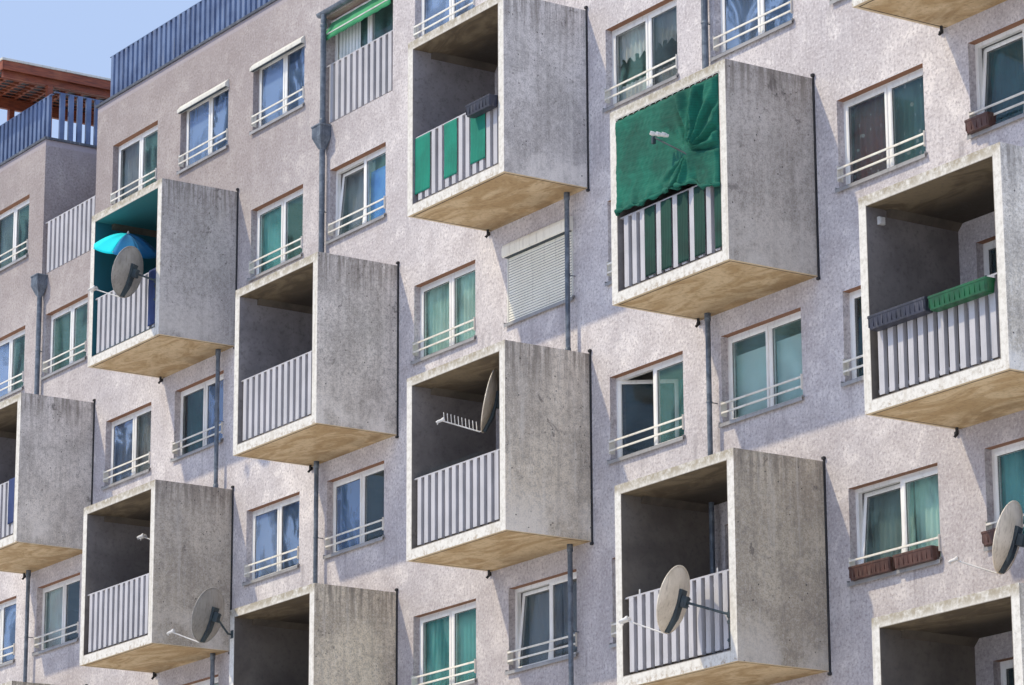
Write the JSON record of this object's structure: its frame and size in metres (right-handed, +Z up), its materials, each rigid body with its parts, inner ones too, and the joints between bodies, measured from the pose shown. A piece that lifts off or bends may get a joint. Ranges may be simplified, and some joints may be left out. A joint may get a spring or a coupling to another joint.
{
  "type": "apartment block",
  "caption": "Apartment block with staggered precast concrete balcony boxes, slatted railings, paired windows, loggias, rain pipes and a roof terrace.",
  "frame": {"origin": "middle of the block's footprint, at ground level", "axes": "+X along the street front, +Y from the street to the rear, +Z up"},
  "size_m": [35.45, 14.551, 26.75],
  "materials": {
    "render": "rough stucco render",
    "plinth_concrete": "cast concrete",
    "slab_concrete": "cast concrete",
    "box_concrete": "weathered precast concrete",
    "coping_metal": "satin",
    "slat_white": "satin",
    "slat_blue": "satin",
    "frame_white": "satin",
    "glass": "clear",
    "sill_metal": "satin",
    "seal_rubber": "matte",
    "zinc": "weathered zinc",
    "shutter_cream": "satin",
    "planter_brown": "satin",
    "dish_grey": "satin, weathered",
    "cloth_green": "woven net and cloth",
    "cloth_blue": "woven cloth",
    "cloth_cyan": "parasol cloth",
    "timber": "stained"
  },
  "bodies": {
    "root": {"back_glass": "glass", "back_wall": "render", "balcony_boxes_a": "box_concrete", "balcony_boxes_b": "box_concrete", "balcony_boxes_c": "box_concrete", "balcony_boxes_d": "box_concrete", "balcony_boxes_e": "box_concrete", "balcony_boxes_f": "box_concrete", "balcony_door_frames": "frame_white", "balcony_railings_a": "slat_white", "balcony_railings_b": "slat_white", "balcony_railings_c": "slat_white", "balcony_railings_d": "slat_white", "balcony_railings_e": "slat_white", "balcony_railings_f": "slat_white", "blue_cloths": "cloth_blue", "ceiling_haunches": "box_concrete", "drain_pipes": "zinc", "end_wall_left": "render", "end_wall_right": "render", "floor_slabs": "slab_concrete", "flower_boxes": "planter_brown", "foundation_slab": "plinth_concrete", "front_glass": "glass", "front_wall_1": "render", "front_wall_2": "render", "front_wall_3": "render", "front_wall_4": "render", "front_wall_5": "render", "front_wall_6": "render", "front_wall_7": "render", "front_wall_8_left": "render", "front_wall_8_right": "render", "green_cloths": "cloth_green", "joint_strips": "seal_rubber", "loggia_gutters": "zinc", "loggia_railings": "slat_white", "open_loggia_sill_wall": "render", "open_loggia_walls": "render", "parapet_coping": "coping_metal", "parasol": "cloth_cyan", "pergola_beams": "timber", "pergola_joists": "timber", "pergola_posts": "timber", "pergola_roof": "coping_metal", "rain_hoppers": "zinc", "rain_leaders": "zinc", "roller_shutters": "shutter_cream", "roof_slab": "slab_concrete", "satellite_dishes": "dish_grey", "terrace_railing": "slat_blue", "window_frames": "frame_white", "window_sills": "sill_metal"}
  },
  "joints": []
}
